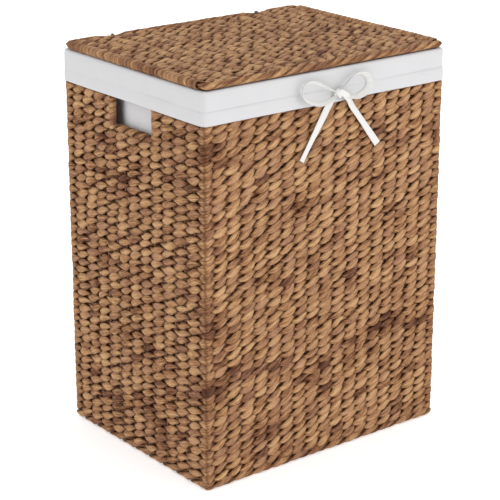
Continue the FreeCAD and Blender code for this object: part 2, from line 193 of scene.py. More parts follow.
@dataclass
class Draft:
    """Points, faces and surface values of one mesh while it is being made.

    Each row holds a point, its tone, its painted shading and its grain.
    """

    rows: list[Array] = field(default_factory=list)
    faces: list[Array] = field(default_factory=list)
    spots: list[Array] = field(default_factory=list)
    count: int = 0
    lines: int = 0

    def add(self, points: Array, tone: Values, crease: Array, grain: Array) -> int:
        """Adds points with their surface values.

        Args:
            points: the points, in metres.
            tone: how light each one is, 0 to 1.
            crease: the painted shade, how open to the light each one is, 0 to 1.
            grain: each one's place along and across its strand.

        Returns:
            The number of the first point added.
        """
        first = self.count
        light = np.stack(np.broadcast_arrays(tone, crease), -1)
        self.rows.append(np.concatenate([points, light, grain], -1).reshape(-1, 8))
        self.count += len(self.rows[-1])
        return first

    def lay(self, strand: Strand) -> None:
        """Skins a strand with rings of points and joins them.

        Args:
            strand: the strand's line and its section at each point.
        """
        along = lengths(strand.centres)
        tangent = unit(np.gradient(strand.centres, axis=0))
        out = unit(strand.outward - (strand.outward * tangent).sum(1, keepdims=True) * tangent)
        across = np.cross(out, tangent)
        angle = TURN * np.arange(RING) / RING
        x = power(np.cos(angle), strand.fullness)
        y = power(np.sin(angle), strand.fullness)
        side = strand.column(strand.half_width) * x
        rise = np.where(y > 0.0, strand.column(strand.rise_out), strand.column(strand.rise_in)) * y
        offset = across[:, None, :] * side[:, :, None]
        points = strand.centres[:, None, :] + offset + out[:, None, :] * rise[:, :, None]
        # Painted shade: darker in the hollows behind the neighbouring strands, towards the edges, and where
        # the strand's shade asks.
        lit = ease(np.abs(strand.column(strand.depth) + rise), *HOLLOW_DEPTHS)
        light = HOLLOW_LIGHT + (1.0 - HOLLOW_LIGHT) * lit
        crease = strand.column(strand.shade) * (1.0 - EDGE_SHADE * np.abs(x) ** 4) * light
        grain = np.stack(np.broadcast_arrays(along[:, None], side, strand.mark), -1)
        first = self.add(points, strand.column(strand.tone), crease, grain)
        self._join_rings(first, along, strand.capped)

    def _join_rings(self, first: int, along: Array, capped: bool) -> None:
        """Adds the faces between a strand's rings, and its two ends.

        Args:
            first: the number of the strand's first point.
            along: the length at each ring.
            capped: whether the ends get a face.
        """
        rings = len(along)
        ring = np.arange(RING)
        i, j = np.meshgrid(np.arange(rings - 1), ring, indexing="ij")
        here = first + i * RING
        after = (j + 1) % RING
        quads = np.stack([here + j, here + after, here + RING + after, here + RING + j], -1)
        line = np.floor((along[:-1] + along[1:]) / 2.0 / UV_LINE)[i]
        start = np.clip(along[i] / UV_LINE - line, 0.0, 1.0)
        end = np.clip(along[i + 1] / UV_LINE - line, 0.0, 1.0)
        low = self.lines + line + UV_EDGE + UV_BAND * j / RING
        high = self.lines + line + UV_EDGE + UV_BAND * (j + 1) / RING
        u = np.stack([start, start, end, end], -1)
        v = np.stack([low, high, high, low], -1)
        self.faces.append(quads.reshape(-1, 4))
        self.spots.append(np.stack([u, v], -1).reshape(-1, 2))
        if capped:
            last = first + (rings - 1) * RING
            ends = np.array([[start[0, 0]], [end[-1, 0]]])
            strip = self.lines + UV_EDGE + UV_BAND * ring / RING
            self.faces.append(np.stack([first + ring[::-1], last + ring]))
            self.spots.append(np.stack(np.broadcast_arrays(ends, strip), -1).reshape(-1, 2))
        self.lines += int(line.max()) + 1

    def lay_tube(self, points: Array, grain: Array, crease: Values, kept: Array | bool = True) -> int:
        """Adds a tube of cloth, as rows of points whose last column joins the first.

        Args:
            points: rows by columns by 3.
            grain: each point's place on the cloth, same shape.
            crease: the painted shade, how open to the light each point is.
            kept: rows - 1 by columns, which faces are there, or True for all.

        Returns:
            The number of the first point added.
        """
        rows, columns = points.shape[:2]
        first = self.add(points, 0.5, np.broadcast_to(crease, (rows, columns)), grain)
        i, j = np.meshgrid(np.arange(rows - 1), np.arange(columns), indexing="ij")
        after = (j + 1) % columns
        low = first + i * columns
        high = low + columns
        quads = np.stack([low + j, low + after, high + after, high + j], -1)
        self.faces.append(quads[np.broadcast_to(kept, i.shape)])
        return first

    def build(self, name: str) -> bpy.types.Object:
        """Makes the Blender object, with a map that has one strip for each length of strand.

        Args:
            name: the piece's name.

        Returns:
            The new object, linked to the scene.
        """
        mesh = bpy.data.meshes.new(name)
        corners = np.concatenate([faces.ravel() for faces in self.faces])
        sizes = np.concatenate([np.full(len(faces), faces.shape[1]) for faces in self.faces])
        starts = np.concatenate([[0], np.cumsum(sizes)[:-1]])
        rows = np.concatenate(self.rows).astype(np.float32)
        mesh.vertices.add(self.count)
        mesh.vertices.foreach_set("co", rows[:, :3].ravel())
        mesh.loops.add(len(corners))
        mesh.loops.foreach_set("vertex_index", corners.astype(np.int32))
        mesh.polygons.add(len(sizes))
        mesh.polygons.foreach_set("loop_start", starts.astype(np.int32))
        mesh.polygons.foreach_set("use_smooth", np.ones(len(sizes), bool))
        mesh.update(calc_edges=True)
        for label, column in (("tone", 3), ("crease", 4)):
            values = mesh.attributes.new(label, "FLOAT", "POINT")
            values.data.foreach_set("value", rows[:, column].ravel())
        vectors = mesh.attributes.new("grain", "FLOAT_VECTOR", "POINT")
        vectors.data.foreach_set("vector", rows[:, 5:].ravel())
        if self.lines:
            spots = np.concatenate(self.spots) / np.array([1.0, float(self.lines)])
            layer = mesh.uv_layers.new(name="OFBake")
            layer.uv.foreach_set("vector", spots.astype(np.float32).ravel())
        piece = bpy.data.objects.new(name, mesh)
        bpy.context.scene.collection.objects.link(piece)
        return piece


# ---------------------------------------------------------------- materials


class Wire:
    """One output of a node, which can be used in ordinary arithmetic."""

    def __init__(self, sheet: "NodeSheet", socket: bpy.types.NodeSocket) -> None:
        """Keeps the socket and the node sheet it belongs to."""
        self.sheet = sheet
        self.socket = socket

    def __add__(self, other: "Wire | float") -> "Wire":
        """This value plus another."""
        return self.sheet.math("ADD", self, other)

    def __radd__(self, other: float) -> "Wire":
        """A number plus this value."""
        return self.sheet.math("ADD", other, self)

    def __sub__(self, other: "Wire | float") -> "Wire":
        """This value less another."""
        return self.sheet.math("SUBTRACT", self, other)

    def __rsub__(self, other: float) -> "Wire":
        """A number less this value."""
        return self.sheet.math("SUBTRACT", other, self)

    def __mul__(self, other: "Wire | float") -> "Wire":
        """This value times another."""
        return self.sheet.math("MULTIPLY", self, other)

    def __rmul__(self, other: float) -> "Wire":
        """A number times this value."""
        return self.sheet.math("MULTIPLY", other, self)


class NodeSheet:
    """The nodes of one material."""

    def __init__(self, name: str) -> None:
        """Starts a material with an output and nothing else.

        Args:
            name: the material's name.
        """
        self.material = bpy.data.materials.new(name)
        self.material.use_nodes = True
        self.tree = self.material.node_tree
        self.tree.nodes.clear()
        self.output = self.tree.nodes.new("ShaderNodeOutputMaterial")

    def node(
        self, kind: str, settings: dict[str, Any] | None = None, sockets: dict[Any, Any] | None = None
    ) -> bpy.types.Node:
        """Adds a node.

        Args:
            kind: the node's type.
            settings: its own settings, set first; "stops" sets a ramp's places and colours.
            sockets: values or wires for its inputs, by name or number.

        Returns:
            The new node.
        """
        made = self.tree.nodes.new(kind)
        for label, value in (settings or {}).items():
            if label != "stops":
                setattr(made, label, value)
                continue
            elements = made.color_ramp.elements
            while len(elements) < len(value):
                elements.new(1.0)
            for element, (spot, colour) in zip(elements, value):
                element.position = spot
                element.color = colour
        for label, value in (sockets or {}).items():
            if isinstance(value, Wire):
                self.tree.links.new(value.socket, made.inputs[label])
            else:
                made.inputs[label].default_value = value
        return made

    def wire(self, kind: str, output: str | int = 0, **given: dict[Any, Any]) -> Wire:
        """One output of a new node, made with its settings and sockets."""
        return Wire(self, self.node(kind, **given).outputs[output])

    def math(self, operation: str, first: Wire | float, second: Wire | float) -> Wire:
        """Adds one Math node and gives its value."""
        return self.wire("ShaderNodeMath", settings={"operation": operation}, sockets={0: first, 1: second})

    def limit(self, value: Wire) -> Wire:
        """Keeps a value between 0 and 1."""
        return self.wire("ShaderNodeClamp", sockets={"Value": value})

    def stretch(self, vector: Wire, scale: Scale) -> Wire:
        """Multiplies a vector, one number for each of its parts."""
        sockets = {0: vector, 1: scale}
        return self.wire("ShaderNodeVectorMath", settings={"operation": "MULTIPLY"}, sockets=sockets)

    def blend(self, factor: Wire | float, first: Wire | Colour, second: Wire | Colour) -> Wire:
        """Mixes two colours."""
        sockets = {0: factor, 6: first, 7: second}
        return self.wire("ShaderNodeMix", 2, settings={"data_type": "RGBA"}, sockets=sockets)

    def ramp(self, factor: Wire, *stops: tuple[float, Colour]) -> Wire:
        """Reads a colour from a ramp."""
        return self.wire("ShaderNodeValToRGB", settings={"stops": stops}, sockets={"Fac": factor})

    def noise(self, vector: Wire, detail: float, roughness: float, scale: float = 1.0) -> Wire:
        """A cloudy value over a vector, about 0.3 to 0.7."""
        sockets = {"Vector": vector, "Scale": scale, "Detail": detail, "Roughness": roughness}
        return self.wire("ShaderNodeTexNoise", sockets=sockets)

    def bands(self, vector: Wire, direction: str, pitch: float) -> Wire:
        """Even bands across a vector, with a pitch in metres."""
        sockets = {"Vector": vector, "Scale": TURN / (20.0 * pitch), "Distortion": 0.6, "Detail": 1.0}
        return self.wire("ShaderNodeTexWave", 1, settings={"bands_direction": direction}, sockets=sockets)

    def attribute(self, label: str, output: str = "Fac") -> Wire:
        """A surface value that the mesh carries."""
        return self.wire("ShaderNodeAttribute", output, settings={"attribute_name": label})

    def bump(self, height: Wire, strength: float, distance: float) -> Wire:
        """A surface relief from a height."""
        sockets = {"Height": height, "Strength": strength, "Distance": distance}
        return self.wire("ShaderNodeBump", sockets=sockets)

    def surface(self, **sockets: Wire | Colour | float) -> bpy.types.Material:
        """Ends the material in one shader.

        Args:
            sockets: values or wires for the shader's inputs, with _ for each space.

        Returns:
            The finished material.
        """
        named = {label.replace("_", " "): value for label, value in sockets.items()}
        shader = self.node("ShaderNodeBsdfPrincipled", None, named)
        self.tree.links.new(shader.outputs[0], self.output.inputs[0])
        return self.material


@dataclass(frozen=True)
class StrandFinish:
    """Dried hyacinth strand: golden tan with browner lengths, ribbed along its fibres."""

    name: str = "hyacinth_strand"
    umber: Colour = (0.085, 0.034, 0.018, 1.0)
    brown: Colour = (0.228, 0.100, 0.047, 1.0)
    amber: Colour = (0.425, 0.222, 0.102, 1.0)
    straw: Colour = (0.620, 0.385, 0.192, 1.0)
    dusk: Colour = (0.245, 0.112, 0.064, 1.0)
    rose: Colour = (0.490, 0.275, 0.152, 1.0)
    # painted shade: the near-black colour painted into the hollows between strands
    gap: Colour = (0.050, 0.011, 0.002, 1.0)
    fibres: Scale = (42.0, 420.0, 9.0)
    fine_fibres: Scale = (170.0, 1700.0, 9.0)
    patches: Scale = (26.0, 90.0, 9.0)
    hues: Scale = (17.0, 60.0, 6.3)
    roughness: float = 0.62
    specular: float = 0.08

    def material(self) -> bpy.types.Material:
        """Makes the material: long fibres, slow patches and painted shade in the hollows.

        Returns:
            The material.
        """
        sheet = NodeSheet(self.name)
        grain = sheet.attribute("grain", "Vector")
        fibre = sheet.noise(sheet.stretch(grain, self.fibres), 4.0, 0.66)
        fine = sheet.noise(sheet.stretch(grain, self.fine_fibres), 3.0, 0.6)
        patch = sheet.noise(sheet.stretch(grain, self.patches), 2.0, 0.5)
        hue = sheet.noise(sheet.stretch(grain, self.hues), 2.0, 0.5)
        tone = sheet.attribute("tone")
        shade = sheet.limit(tone + 1.8 * (fibre - 0.5) + 1.6 * (fine - 0.5) + 1.0 * (patch - 0.5))
        warm = sheet.ramp(shade, (0.0, self.umber), (0.3, self.brown), (0.62, self.amber), (1.0, self.straw))
        cool = sheet.ramp(shade, (0.0, self.umber), (0.35, self.dusk), (1.0, self.rose))
        strand = sheet.blend(sheet.limit((hue - 0.5) * 5.0 + 0.26), warm, cool)
        return sheet.surface(
            # painted shade: the mesh's painted shading mixes the near-black gap colour in
            Base_Color=sheet.blend(sheet.limit(sheet.attribute("crease")), self.gap, strand),
            Roughness=self.roughness + 0.5 * (fibre - 0.5),
            Normal=sheet.bump(0.6 * fibre + 0.4 * fine, 0.85, 1.6 * MM),
            Specular_IOR_Level=self.specular,
        )


@dataclass(frozen=True)
class ClothFinish:
    """Plain woven cotton in cool white, with a soft hand."""

    name: str = "cotton_cloth"
    white: Colour = (0.630, 0.626, 0.636, 1.0)
    shadow: Colour = (0.550, 0.547, 0.562, 1.0)
    thread: float = 0.7 * MM
    slubs: Scale = (60.0, 900.0, 1.0)
    clouds: Scale = (28.0, 28.0, 1.0)

    def material(self) -> bpy.types.Material:
        """Makes the material: crossing threads, slubs, a faint unevenness, and painted shade mixed in from a
        shadow white.

        Returns:
            The material.
        """
        sheet = NodeSheet(self.name)
        grain = sheet.attribute("grain", "Vector")
        weave = sheet.bands(grain, "X", self.thread) * 0.5 + sheet.bands(grain, "Y", self.thread) * 0.5
        slub = sheet.noise(sheet.stretch(grain, self.slubs), 3.0, 0.5)
        soft = sheet.noise(sheet.stretch(grain, self.clouds), 3.0, 0.5)
        # painted shade: the cloth is mixed from a lit white and a shadow white by the painted shading, with
        # soft clouds and slubs as its own unevenness
        lit = sheet.limit(sheet.attribute("crease") * (0.75 + 0.5 * soft) - 0.12 * (1.0 - slub))
        return sheet.surface(
            Base_Color=sheet.blend(lit, self.shadow, self.white), Roughness=0.82 + 0.2 * (slub - 0.5),
            Normal=sheet.bump(0.10 * weave + 0.15 * slub + 0.9 * soft, 0.5, 0.9 * MM),
            Specular_IOR_Level=0.25, Sheen_Weight=0.15,
        )


@dataclass(frozen=True)
class TapeFinish:
    """Cotton twill tape in warm off-white."""

    name: str = "cotton_tape"
    white: Colour = (0.780, 0.772, 0.752, 1.0)
    shadow: Colour = (0.600, 0.592, 0.570, 1.0)
    rib: float = 0.66 * MM
    slubs: Scale = (120.0, 900.0, 1.0)

    def material(self) -> bpy.types.Material:
        """Makes the material: slanting ribs, with painted shade mixed in from a shadow white, darkest towards
        the tape's edges.

        Returns:
            The material.
        """
        sheet = NodeSheet(self.name)
        grain = sheet.attribute("grain", "Vector")
        rib = sheet.bands(sheet.stretch(grain, (1.0, 0.8, 1.0)), "DIAGONAL", self.rib)
        slub = sheet.noise(sheet.stretch(grain, self.slubs), 2.0, 0.5)
        # painted shade: the tape is mixed from a lit white and a shadow white by the painted shading, with
        # its ribs and slubs
        lit = sheet.limit(sheet.attribute("crease") * (0.7 + 0.3 * rib + 0.4 * (slub - 0.3)))
        return sheet.surface(
            Base_Color=sheet.blend(lit, self.shadow, self.white), Roughness=0.78 + 0.2 * (slub - 0.5),
            Normal=sheet.bump(0.6 * rib + 0.4 * slub, 0.45, 0.35 * MM), Specular_IOR_Level=0.3,
            Sheen_Weight=0.1,
        )


@dataclass(frozen=True)
class SteelFinish:
    """Steel rod dipped in brown paint, worn a little where it rubs."""

    name: str = "painted_steel"
    paint: Colour = (0.150, 0.078, 0.042, 1.0)
    worn: Colour = (0.240, 0.190, 0.160, 1.0)

    def material(self) -> bpy.types.Material:
        """Makes the material: orange-peel paint with small rubbed spots.

        Returns:
            The material.
        """
        sheet = NodeSheet(self.name)
        spot = sheet.wire("ShaderNodeTexCoord", "Object")
        peel = sheet.noise(spot, 3.0, 0.5, 900.0)
        rub = sheet.limit((sheet.noise(spot, 4.0, 0.7, 160.0) - 0.58) * 6.0)
        return sheet.surface(
            Base_Color=sheet.blend(rub * 0.6, self.paint, self.worn), Roughness=0.36 + 0.2 * rub,
            Metallic=0.15 + 0.6 * rub, Normal=sheet.bump(peel, 0.25, 0.3 * MM),
        )


@dataclass(frozen=True)
class FloorFinish:
    """The plain pale studio floor."""

    name: str = "studio_floor"
    pale: Colour = (0.90, 0.90, 0.90, 1.0)
    glow: float = 0.42

    def material(self) -> bpy.types.Material:
        """Makes the material: matt, with a trace of unevenness and a faint glow.

        Returns:
            The material.
        """
        sheet = NodeSheet(self.name)
        cloud = sheet.noise(sheet.wire("ShaderNodeTexCoord", "Object"), 2.0, 0.5, 3.0)
        roughness = 0.8 + 0.1 * cloud
        return sheet.surface(
            Base_Color=self.pale, Roughness=roughness, Emission_Color=WHITE, Emission_Strength=self.glow
        )


class Workshop:
    """The materials, and the way that pieces are put in place."""

    def __init__(self) -> None:
        """Makes each material once."""
        self.materials = {
            Slot.STRAND: StrandFinish().material(),
            Slot.COTTON: ClothFinish().material(),
            Slot.TAPE: TapeFinish().material(),
            Slot.STEEL: SteelFinish().material(),
        }

    def place(self, piece: bpy.types.Object, body: Body, slot: Slot, *nodes: str) -> None:
        """Puts a piece on its body with its finish.

        Args:
            piece: the piece.
            body: the body it moves with.
            slot: which material it takes.
            nodes: the CAD nodes that it takes the place of.
        """
        piece.data.materials.clear()
        piece.data.materials.append(self.materials[slot])
        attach(piece, body.value)
        if nodes:
            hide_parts(*nodes)
        LOG.info("%s rides on %s, %d points", piece.name, body.value, len(piece.data.vertices))

    def make(
        self, name: str, strands: Iterable[Strand], *nodes: str, body: Body = Body.BASKET,
        slot: Slot = Slot.STRAND,
    ) -> bpy.types.Object:
        """Makes a piece from strands, and puts it in place.

        Args:
            name: the piece's name.
            strands: its strands.
            nodes: the CAD nodes that it takes the place of.
            body: the body it moves with.
            slot: which material it takes.

        Returns:
            The piece.
        """
        draft = Draft()
        for strand in strands:
            draft.lay(strand)
        piece = draft.build(name)
        self.place(piece, body, slot, *nodes)
        return piece

    def hem(self, draft: Draft, name: str, thickness: float, offset: float, *nodes: str) -> bpy.types.Object:
        """Makes a piece of cloth with its thickness applied, and puts it in place.

        Args:
            draft: the cloth's middle or outer face.
            name: the piece's name.
            thickness: how thick the cloth is.
            offset: -1 grows it inwards, 1 outwards.
            nodes: the CAD nodes that it takes the place of.

        Returns:
            The piece.
        """
        piece = draft.build(name)
        modifier = piece.modifiers.new("thickness", "SOLIDIFY")
        modifier.thickness = thickness
        modifier.offset = offset
        graph = bpy.context.evaluated_depsgraph_get()
        solid = bpy.data.meshes.new_from_object(piece.evaluated_get(graph))
        piece.modifiers.clear()
        piece.data = solid
        self.place(piece, Body.BASKET, Slot.COTTON, *nodes)
        return piece


@dataclass
class Work:
    """A sub-assembly, which builds its own pieces in the workshop."""

    shop: Workshop


# ---------------------------------------------------------------- the basket's plan


@dataclass(frozen=True)
class Plan:
    """The line round the walls' rods, measured in places: one for each gap between stakes.

    Places run anticlockwise seen from above, from the front left post: 18 along the front,
    14 along the right side, 18 along the back and 14 along the left side.
    """

    half_x: float = 0.220
    half_y: float = 0.170
    post: float = 1.5 * MM
    turn: float = 0.12

    def at(self, places: Array, off: Values) -> tuple[Array, Array]:
        """Points beside the line.

        Args:
            places: where along the line.
            off: how far outside the line, in metres.

        Returns:
            The points and the outward directions, both flat in Z.
        """
        turned = np.mod(places, LAP)
        off = np.broadcast_to(off, turned.shape)
        side = np.clip(np.searchsorted(CORNERS, turned, side="right") - 1, 0, 3)
        local = turned - CORNERS[side]
        span = CORNERS[side + 1] - CORNERS[side]
        radius = self.post + np.where(off >= 0.0, off, -0.35 * off)
        near = np.clip(1.0 - local / self.turn, 0.0, 1.0)
        far = np.clip(1.0 - (span - local) / self.turn, 0.0, 1.0)
        angle = math.pi / 2.0 * (side - 1) - near * math.pi / 4.0 + far * math.pi / 4.0
        signs = np.array([[-1.0, -1.0], [1.0, -1.0], [1.0, 1.0], [-1.0, 1.0]])
        reach = np.stack([self.half_x + off - radius, self.half_y + off - radius], -1)
        share = np.clip((local - self.turn) / (span - 2.0 * self.turn), 0.0, 1.0)[:, None]
        outward = np.stack([np.cos(angle), np.sin(angle), np.zeros_like(angle)], -1)
        flat = signs[side] * reach * (1.0 - share) + signs[(side + 1) % 4] * reach * share
        flat = flat + radius[:, None] * outward[:, :2]
        return np.concatenate([flat, np.zeros((len(flat), 1))], 1), outward

    def back(self, x: float) -> float:
        """The place on the back at some X."""
        return CORNERS[2] + (self.half_x - x) / GAP

    def sideways(self, places: Array) -> Array:
        """How much each place belongs to the left or right side, smooth round the posts.

        Args:
            places: where along the line.

        Returns:
            A share for each place, 0 to 1.
        """
        turned = np.mod(places, LAP)
        start, right, back, left, end = (ease(turned, corner - 0.5, corner + 0.5) for corner in CORNERS)
        return right * (1.0 - back) + (left * (1.0 - end) + 1.0 - start)

    def stitches(self, places: Array) -> Array:
        """How many stitches of a row there are up to each place: 18 on a long side, 12 on a short one."""
        laps = np.floor(places / LAP)
        return laps * STITCHES + np.interp(places - laps * LAP, CORNERS, [0.0, 18.0, 30.0, 48.0, 60.0])

    def steps(self, start: float, end: float, step: float = 0.1) -> Array:
        """Even places from start to end, closer together round the posts.

        Args:
            start: the first place.
            end: the last place.
            step: the gap between places.

        Returns:
            The places, lowest first.
        """
        even = np.linspace(start, end, max(2, int(round((end - start) / step)) + 1))
        posts = np.concatenate([CORNERS[:4] - LAP, CORNERS[:4], CORNERS[:4] + LAP])
        extra = (posts[:, None] + 0.03 * np.arange(-4, 5)).ravel()
        extra = extra[(extra > start + 0.01) & (extra < end - 0.01)]
        places = np.unique(np.round(np.concatenate([even, extra]), 4))
        return places[np.concatenate([[True], np.diff(places) > 0.012])]

    def core(self, height: float) -> Core:
        """A level core that follows the plan's line.

        Args:
            height: the core's height.

        Returns:
            A function from places to points, outward and upward directions.
        """

        def core(places: Array) -> tuple[Array, Array, Array]:
            """The core's points and directions at some places."""
            points, outward = self.at(places, 0.0)
            return points + UP * height, outward, UP

        return core


@dataclass
class StitchTable:
    """What differs from stitch to stitch along one strand of a row."""

    width: Array
    lift: Array
    plump: Array
    slant: Array
    tone: Array

    @classmethod
    def draw(cls, rng: np.random.Generator, count: int) -> "StitchTable":
        """Draws one table.

        Args:
            rng: the seeded source.
            count: how many places the table holds.

        Returns:
            The table.
        """
        slow = wander(rng.normal(0.0, 0.075, max(4, count // 5)), np.arange(count) / 5.0)
        tone = 0.66 + slow + rng.normal(0.0, 0.065, count)
        tone = tone - np.where(rng.random(count) < 0.07, rng.uniform(0.20, 0.50, count), 0.0)
        return cls(
            width=rng.uniform(0.76, 1.16, count), lift=rng.normal(0.0, 0.75 * MM, count),
            plump=rng.uniform(0.68, 1.22, count), slant=rng.uniform(0.72, 1.34, count), tone=tone,
        )

    def steady(self, places: Array) -> None:
        """Makes the stitches at some places alike: full, level and mid-brown.

        Args:
            places: the places, such as the corner posts.
        """
        self.width[places] = 1.12
        self.lift[places] = 0.0
        self.slant[places] = 0.6
        self.tone[places] = 0.56 + 0.4 * (self.tone[places] - 0.62)


@dataclass(frozen=True)
class Twining:
    """The shape of a two-strand twined row, in metres."""

    sway: float = 2.3 * MM
    climb: float = 4.2 * MM
    half_width: float = 7.4 * MM
    waist: float = 0.57
    flat_rise: float = 1.0 * MM
    round_rise: float = 2.0 * MM

    def section(
        self, phase: Array, plump: Array, width: Array, narrow: Values = 0.0
    ) -> tuple[Array, Array, Array]:
        """The strand's section at each point of its turn.

        Args:
            phase: the angle of its turn, 0 where it is outermost.
            plump: how full each stitch is.
            width: how wide each stitch is.
            narrow: how much the strand narrows further between stitches, 0 to 1.

        Returns:
            Half its width, its rise on the outer side, and its rise on the inner side.
        """
        facing = np.cos(phase)
        waist = self.waist - 0.11 * narrow
        half = self.half_width * width * (waist + (1.0 - waist) * facing**2)
        outer = self.flat_rise + self.round_rise * plump * ((1.0 + facing) / 2.0) ** 0.7
        inner = self.flat_rise + self.round_rise * plump * ((1.0 - facing) / 2.0) ** 0.7
        return half, outer, inner


@dataclass
class WovenWalls(Work):
    """The four walls, woven in rows that go all the way round."""

    plan: Plan = Plan()
    twining: Twining = Twining()
    rows: int = 46
    foot: float = 12.0 * MM
    pitch: float = 12.46 * MM
    rows_per_band: int = 5
    first_cut_row: int = 39
    last_cut_row: int = 43
    hole_edge: float = 2.17
    stray: float = 0.10
    rim_squeeze: float = 0.8
    side_flatter: float = 0.26
    # painted shade in a thin band down each corner post, where the rows turn
    post_shade: float = 0.55
    sharpness: float = 1.25
    holes: tuple[float, float] = (25.0, 57.0)
    stain_count: int = 60
    seed: int = 11

    def __post_init__(self) -> None:
        """Draws the slow rise and fall that neighbouring rows share, and the stains."""
        self.rng = np.random.default_rng(self.seed)
        self.sag = self.rng.uniform(0.0, TURN, 3)
        low, high = (0.0, 0.0, 0.15), (float(self.rows), float(STITCHES), 0.55)
        self.stains = np.random.default_rng(self.seed + 1).uniform(low, high, (self.stain_count, 3))

    def _stain(self, row: int, count: Array) -> Array:
        """How much darker each stitch of a row is, from the stains that spread over a few rows.

        Args:
            row: the row, from the bottom.
            count: the stitches' places along the row.

        Returns:
            What to take from each tone.
        """
        total = np.zeros(len(count))
        for centre_row, centre, strength in self.stains:
            away = np.mod(count - centre + STITCHES / 2.0, STITCHES) - STITCHES / 2.0
            total += strength * np.exp(-(((row - centre_row) / 1.2) ** 2) - (away / 0.8) ** 2)
        return total

    def _runs(self, row: int, ply: int) -> list[tuple[float, float]]:
        """The lengths of one strand of a row, as pairs of places.

        Args:
            row: the row, from the bottom.
            ply: the strand, 0 or 1.

        Returns:
            Each length's first and last place. A cut row stops at the hand holes.
        """
        if self.first_cut_row <= row <= self.last_cut_row:
            right, left = self.holes
            edge = self.hole_edge
            return [(right + edge, left - edge), (left + edge, right + LAP - edge)]
        start = 1.0 - ply
        return [(start, start + LAP / 2.0), (start + LAP / 2.0, start + LAP)]

    def _ply(self, row: int, ply: int, run: tuple[float, float], table: StitchTable, shift: Array) -> Strand:
        """One length of one strand.

        Args:
            row: the row, from the bottom.
            ply: the strand, 0 or 1.
            run: its first and last place.
            table: its stitches.
            shift: how far the row's crossings stray from the middle of the gaps.

        Returns:
            The strand.
        """
        places = self.plan.steps(*run)
        count = self.plan.stitches(places)
        phase = math.pi * (count + ply + wander(shift, count))
        squeeze = self.rim_squeeze if row >= self.last_cut_row else 1.0
        sideways = self.plan.sideways(places)
        plump = wander(table.plump, count) * squeeze
        half, outer, inner = self.twining.section(phase, plump, wander(table.width, count), sideways)
        swing = np.sin(self.sharpness * np.cos(phase)) / math.sin(self.sharpness)
        off = self.twining.sway * squeeze * swing
        centres, outward = self.plan.at(places, off)
        turn = TURN * places / LAP
        wave = 0.5 * np.sin(2.0 * turn + self.sag[0]) + 0.35 * np.sin(5.0 * turn + self.sag[1] + 0.05 * row)
        wave = wave + 0.25 * np.sin(9.0 * turn + self.sag[2] + 0.4 * row)
        climb = self.twining.climb * wander(table.slant, count) * np.sin(phase)
        climb = climb * (1.0 - self.side_flatter * sideways)
        height = self.foot + self.pitch * (row + 0.5)
        centres[:, 2] = height + wave * MM + wander(table.lift, count) + climb
        near = np.abs(places[:, None] - np.concatenate([CORNERS, CORNERS + LAP])).min(1)
        return Strand(
            centres, outward, half, outer, inner,
            tone=wander(table.tone, count) - self._stain(row, count),
            # shade paints a thin band of shade down each corner post
            shade=1.0 - self.post_shade * bell(near, 0.0, 0.05), mark=3.7 * (2 * row + ply), depth=off,
            capped=self.first_cut_row <= row <= self.last_cut_row,
        )

    def _strands(self, rows: Iterable[int]) -> Iterator[Strand]:
        """Weaves some rows.

        Args:
            rows: the rows, from the bottom.

        Returns:
            Their strands, one by one.
        """
        posts = self.plan.stitches(CORNERS[:4]).astype(int)
        for row in rows:
            shift = self.rng.normal(0.0, self.stray, STITCHES)
            for ply in (0, 1):
                table = StitchTable.draw(self.rng, STITCHES)
                table.steady(posts)
                for run in self._runs(row, ply):
                    yield self._ply(row, ply, run, table, shift)

    def build(self) -> None:
        """Weaves the walls in bands of rows, from the bottom."""
        nodes = ("front_weave", "back_weave", "left_weave", "right_weave")
        count = self.rows // self.rows_per_band
        for band in range(count):
            first = band * self.rows_per_band
            last = self.rows if band == count - 1 else first + self.rows_per_band
            self.shop.make(f"wall_rows_{band + 1}", self._strands(range(first, last)), *nodes)


@dataclass
class FlatWeave(Work):
    """A flat panel of twined rows that run from side to side, such as the lid or the base."""

    name: str
    node: str
    body: Body
    height: float
    half_x: float
    half_y: float
    rows: int
    twining: Twining
    seed: int
    stray: float = 0.0
    bands: int = 2
    step: float = 0.1

    def _ply(self, row: int, ply: int, table: StitchTable, shift: Array, start: float) -> Strand:
        """One strand of a row.

        Args:
            row: the row, from the front.
            ply: the strand, 0 or 1.
            table: its stitches.
            shift: how far the row's crossings stray from the middle of the gaps.
            start: where the row's slow wave starts.

        Returns:
            The strand.
        """
        reach = self.half_x / GAP
        places = np.linspace(MIDDLE - reach, MIDDLE + reach, int(2.0 * reach / self.step) + 1)
        phase = math.pi * (places + ply + row + wander(shift, places))
        centre = -self.half_y + 2.0 * self.half_y / self.rows * (row + 0.5)
        wave = 0.7 * MM * np.sin(places * 0.35 + start) + wander(table.lift, places)
        climb = self.twining.climb * wander(table.slant, places)
        off = self.twining.sway * np.cos(phase)
        return Strand(
            np.stack([(places - MIDDLE) * GAP, centre + wave + climb * np.sin(phase), self.height + off], -1),
            UP, *self.twining.section(phase, wander(table.plump, places), wander(table.width, places)),
            tone=wander(table.tone, places), mark=5.3 * (2 * row + ply) + self.seed, depth=off,
        )

    def _strands(self, rows: Iterable[int], rng: np.random.Generator) -> Iterator[Strand]:
        """Weaves some rows.

        Args:
            rows: the rows, from the front.
            rng: the seeded source.

        Returns:
            Their strands, one by one.
        """
        for row in rows:
            shift = rng.normal(self.stray * (row % 3 - 1), 0.14, TABLE)
            start = rng.uniform(0.0, TURN)
            for ply in (0, 1):
                yield self._ply(row, ply, StitchTable.draw(rng, TABLE), shift, start)

    def build(self) -> None:
        """Weaves the panel in bands of rows, from the front."""
        rng = np.random.default_rng(self.seed)
        per_band = math.ceil(self.rows / self.bands)
        for band in range(self.bands):
            rows = range(band * per_band, min(self.rows, (band + 1) * per_band))
            self.shop.make(f"{self.name}_{band + 1}", self._strands(rows, rng), self.node, body=self.body)


# ---------------------------------------------------------------- edges wound and roped with strand


